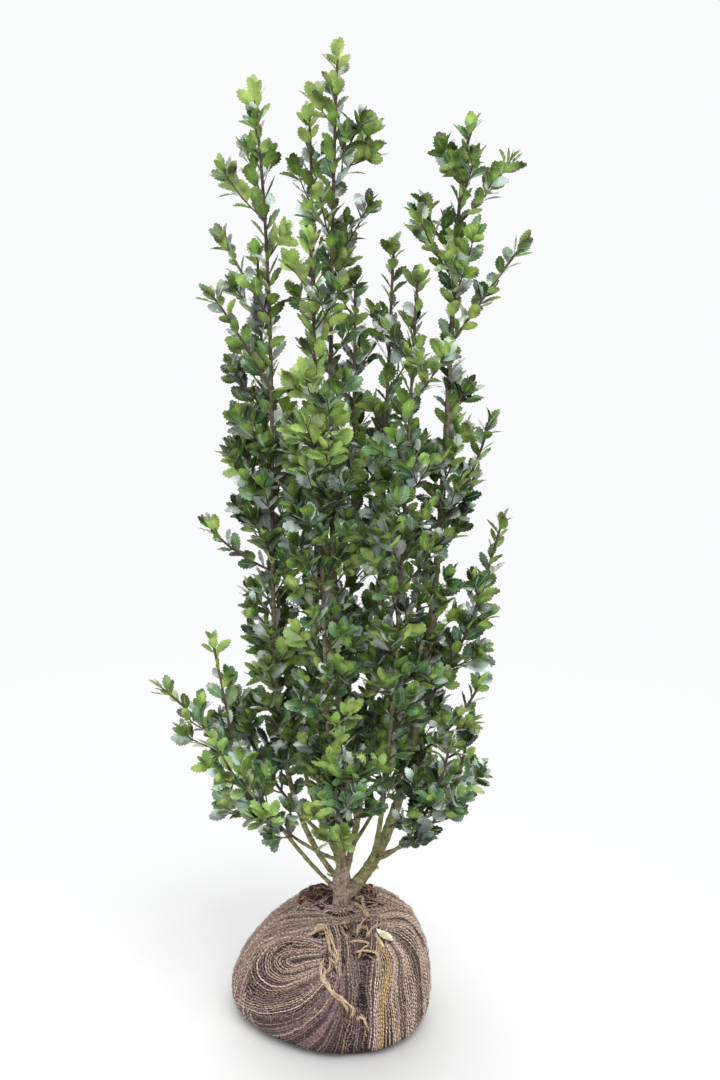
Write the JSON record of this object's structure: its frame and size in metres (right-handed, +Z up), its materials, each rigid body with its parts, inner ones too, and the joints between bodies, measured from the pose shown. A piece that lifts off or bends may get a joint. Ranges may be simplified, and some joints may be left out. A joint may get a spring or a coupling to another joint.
{
  "type": "meserve holly",
  "caption": "Many-stemmed evergreen shrub with tall leafy leaders and low spreading side branches on a short trunk, standing on the flat foot of its burlapped root ball.",
  "frame": {"origin": "centre of the root ball's flat underside, on the surface the plant stands on", "axes": "+Z up along the plant, +X to the right of the front view, +Y away from the front view"},
  "size_m": [0.6487, 0.5656, 1.637],
  "materials": {
    "burlap": "coarse brown-purple woven jute with tan threads, dry and matt",
    "trunk_bark": "grey-brown bark, fine pores and creases",
    "bough_bark": "smooth olive-green bark with brown pores, purplish on young wood",
    "leaves": "glossy dark green upper side, paler matt underside"
  },
  "bodies": {
    "root": {"root_ball": "burlap", "burlap_fold_left": "burlap", "burlap_fold_right": "burlap", "trunk": "trunk_bark", "bough_right": "bough_bark", "bough_centre": "bough_bark", "bough_left": "bough_bark", "bough_left_inner": "bough_bark", "bough_right_back": "bough_bark", "bough_front": "bough_bark", "bough_right_front": "bough_bark", "bough_back": "bough_bark", "bough_back_left": "bough_bark", "bough_low_left": "bough_bark", "bough_low_left_front": "bough_bark", "bough_low_front": "bough_bark", "bough_low_right_front": "bough_bark", "bough_low_right": "bough_bark", "bough_low_back_right": "bough_bark", "bough_low_back": "bough_bark", "bough_low_back_left": "bough_bark", "foliage_right": "leaves", "foliage_centre": "leaves", "foliage_left": "leaves", "foliage_left_inner": "leaves", "foliage_right_back": "leaves", "foliage_front": "leaves", "foliage_right_front": "leaves", "foliage_back": "leaves", "foliage_back_left": "leaves", "foliage_low_left": "leaves", "foliage_low_left_front": "leaves", "foliage_low_front": "leaves", "foliage_low_right_front": "leaves", "foliage_low_right": "leaves", "foliage_low_back_right": "leaves", "foliage_low_back": "leaves", "foliage_low_back_left": "leaves"}
  },
  "joints": []
}
